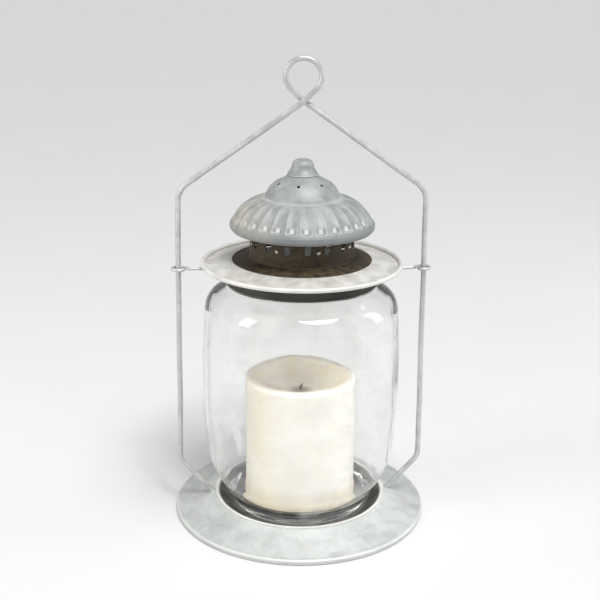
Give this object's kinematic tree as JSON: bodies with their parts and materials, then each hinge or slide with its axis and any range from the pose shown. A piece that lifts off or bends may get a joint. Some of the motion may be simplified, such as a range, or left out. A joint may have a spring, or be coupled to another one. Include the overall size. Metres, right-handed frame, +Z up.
{
  "type": "candle lantern",
  "caption": "Hurricane candle lantern: glass jar globe on a round zinc base, wire frame with a hanging loop, vented fluted cap that slides up the frame, and a pillar candle.",
  "frame": {"origin": "centre of the base on the plane that the lantern stands on", "axes": "+Z up along the globe's axis, X across the two legs of the wire frame, -Y the front"},
  "size_m": [0.1748, 0.1746, 0.3145],
  "materials": {
    "zinc_sheet": "weathered pale zinc coating, matt",
    "dome_sheet": "weathered speckled zinc, matt",
    "frame_wire": "dull galvanised wire",
    "rusted_sheet": "brown oxidised, matt",
    "rivet": "dull",
    "clear_glass": "clear, faint smudges",
    "candle_wax": "ivory wax, satin",
    "wick": "burnt cotton cord",
    "wick_tab": "dull pressed sheet"
  },
  "bodies": {
    "base": {"base_plate": "zinc_sheet", "base_rim_wire": "frame_wire", "base_pan": "zinc_sheet", "frame_wire": "frame_wire"},
    "globe": {"glass_globe": "clear_glass"},
    "candle": {"candle_wax": "candle_wax", "candle_wick": "wick", "wick_tab": "wick_tab"},
    "top": {"top_tray": "zinc_sheet", "tray_rim_wire": "frame_wire", "neck_sleeve": "zinc_sheet", "guide_eye_left": "frame_wire", "guide_eye_right": "frame_wire", "gallery": "rusted_sheet", "dome_straps": "rusted_sheet", "strap_rivets": "rivet", "dome_skirt": "dome_sheet", "dome_bell": "dome_sheet", "finial_knob": "dome_sheet", "finial_rivet": "rivet"}
  },
  "joints": [
    {"name": "globe_lift", "type": "slide", "parent": "base", "child": "globe", "axis": [0, 0, 1], "range_m": [0, 0.008]},
    {"name": "top_slide", "type": "slide", "parent": "globe", "child": "top", "axis": [0, 0, 1], "range_m": [0, 0.023]},
    {"name": "candle_lift", "type": "slide", "parent": "globe", "child": "candle", "axis": [0, 0, 1], "range_m": [0, 0.055]}
  ]
}
